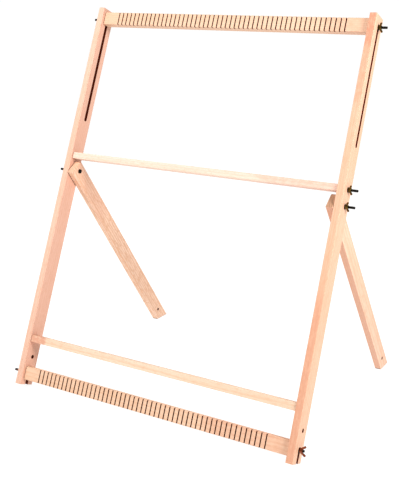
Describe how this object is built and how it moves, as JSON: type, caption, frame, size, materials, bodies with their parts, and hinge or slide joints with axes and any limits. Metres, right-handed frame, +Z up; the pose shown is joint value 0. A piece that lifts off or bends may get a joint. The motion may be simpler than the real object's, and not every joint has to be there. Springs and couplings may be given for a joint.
{
  "type": "tapestry loom",
  "caption": "Standing wooden tapestry loom: slotted uprights, a sliding grooved top beam, a grooved bottom beam, plain cross bars and two swinging rear legs held by wing nuts.",
  "frame": {"origin": "on the floor, under the middle of the loom's overall width and depth", "axes": "+X to the right of a weaver sitting in front, -Y towards the weaver, +Y to the rear legs, +Z up; the uprights lean back from -Y to +Y by 22.5 degrees"},
  "size_m": [0.8275, 0.6535, 0.9471],
  "materials": {
    "beech": "planed and sanded, unvarnished",
    "beech_dowel": "turned, unvarnished",
    "blackened_steel": "black oxide, slightly oily",
    "bronze_toned_nut": "dark olive passivated",
    "copper_toned_nut": "reddish brown passivated"
  },
  "bodies": {
    "frame": {"upright_left": "beech", "upright_right": "beech", "middle_bar": "beech", "lower_bar": "beech", "dowel_left": "beech_dowel", "dowel_right": "beech_dowel", "stud_middle_left": "blackened_steel", "stud_middle_right": "blackened_steel", "leg_bolt_left": "blackened_steel", "leg_bolt_right": "blackened_steel", "washer_middle_left": "blackened_steel", "washer_middle_right": "blackened_steel", "washer_leg_left": "blackened_steel", "washer_leg_right": "blackened_steel"},
    "top_beam": {"top_beam": "beech", "stud_top_left": "blackened_steel", "stud_top_right": "blackened_steel", "washer_top_left": "blackened_steel", "washer_top_right": "blackened_steel"},
    "bottom_beam": {"bottom_beam": "beech", "stud_bottom_left": "blackened_steel", "stud_bottom_right": "blackened_steel", "washer_bottom_left": "blackened_steel", "washer_bottom_right": "blackened_steel"},
    "leg_left": {"leg_left": "beech"},
    "leg_right": {"leg_right": "beech"},
    "wing_nut_top_left": {"wing_nut_top_left": "bronze_toned_nut"},
    "wing_nut_middle_left": {"wing_nut_middle_left": "bronze_toned_nut"},
    "wing_nut_bottom_left": {"wing_nut_bottom_left": "copper_toned_nut"},
    "wing_nut_leg_left": {"wing_nut_leg_left": "bronze_toned_nut"},
    "wing_nut_top_right": {"wing_nut_top_right": "bronze_toned_nut"},
    "wing_nut_middle_right": {"wing_nut_middle_right": "bronze_toned_nut"},
    "wing_nut_bottom_right": {"wing_nut_bottom_right": "copper_toned_nut"},
    "wing_nut_leg_right": {"wing_nut_leg_right": "bronze_toned_nut"}
  },
  "joints": [
    {"name": "top_beam_slide", "type": "slide", "parent": "frame", "child": "top_beam", "axis": [0, -0.3827, -0.9239], "range_m": [0, 0.276]},
    {"name": "bottom_beam_slide", "type": "slide", "parent": "frame", "child": "bottom_beam", "axis": [0, -0.3827, -0.9239], "range_m": [0, 0.018]},
    {"name": "leg_left_swing", "type": "hinge", "parent": "frame", "child": "leg_left", "pos_m": [-0.36145, -0.08899, 0.52968], "axis": [1, 0, 0], "range_deg": [-55, 66]},
    {"name": "leg_right_swing", "type": "hinge", "parent": "frame", "child": "leg_right", "pos_m": [0.36145, -0.08899, 0.52968], "axis": [1, 0, 0], "range_deg": [-55, 66]},
    {"name": "wing_nut_top_left_turn", "type": "hinge", "parent": "top_beam", "child": "wing_nut_top_left", "pos_m": [-0.393, 0.07001, 0.91355], "axis": [-1, 0, 0], "continuous": true},
    {"name": "wing_nut_middle_left_turn", "type": "hinge", "parent": "frame", "child": "wing_nut_middle_left", "pos_m": [-0.393, -0.07445, 0.56479], "axis": [-1, 0, 0], "continuous": true},
    {"name": "wing_nut_bottom_left_turn", "type": "hinge", "parent": "bottom_beam", "child": "wing_nut_bottom_left", "pos_m": [-0.393, -0.29335, 0.03633], "axis": [-1, 0, 0], "continuous": true},
    {"name": "wing_nut_leg_left_turn", "type": "hinge", "parent": "frame", "child": "wing_nut_leg_left", "pos_m": [-0.393, -0.08899, 0.52968], "axis": [-1, 0, 0], "continuous": true},
    {"name": "wing_nut_top_right_turn", "type": "hinge", "parent": "top_beam", "child": "wing_nut_top_right", "pos_m": [0.393, 0.07001, 0.91355], "axis": [1, 0, 0], "continuous": true},
    {"name": "wing_nut_middle_right_turn", "type": "hinge", "parent": "frame", "child": "wing_nut_middle_right", "pos_m": [0.393, -0.07445, 0.56479], "axis": [1, 0, 0], "continuous": true},
    {"name": "wing_nut_bottom_right_turn", "type": "hinge", "parent": "bottom_beam", "child": "wing_nut_bottom_right", "pos_m": [0.393, -0.29335, 0.03633], "axis": [1, 0, 0], "continuous": true},
    {"name": "wing_nut_leg_right_turn", "type": "hinge", "parent": "frame", "child": "wing_nut_leg_right", "pos_m": [0.393, -0.08899, 0.52968], "axis": [1, 0, 0], "continuous": true}
  ]
}
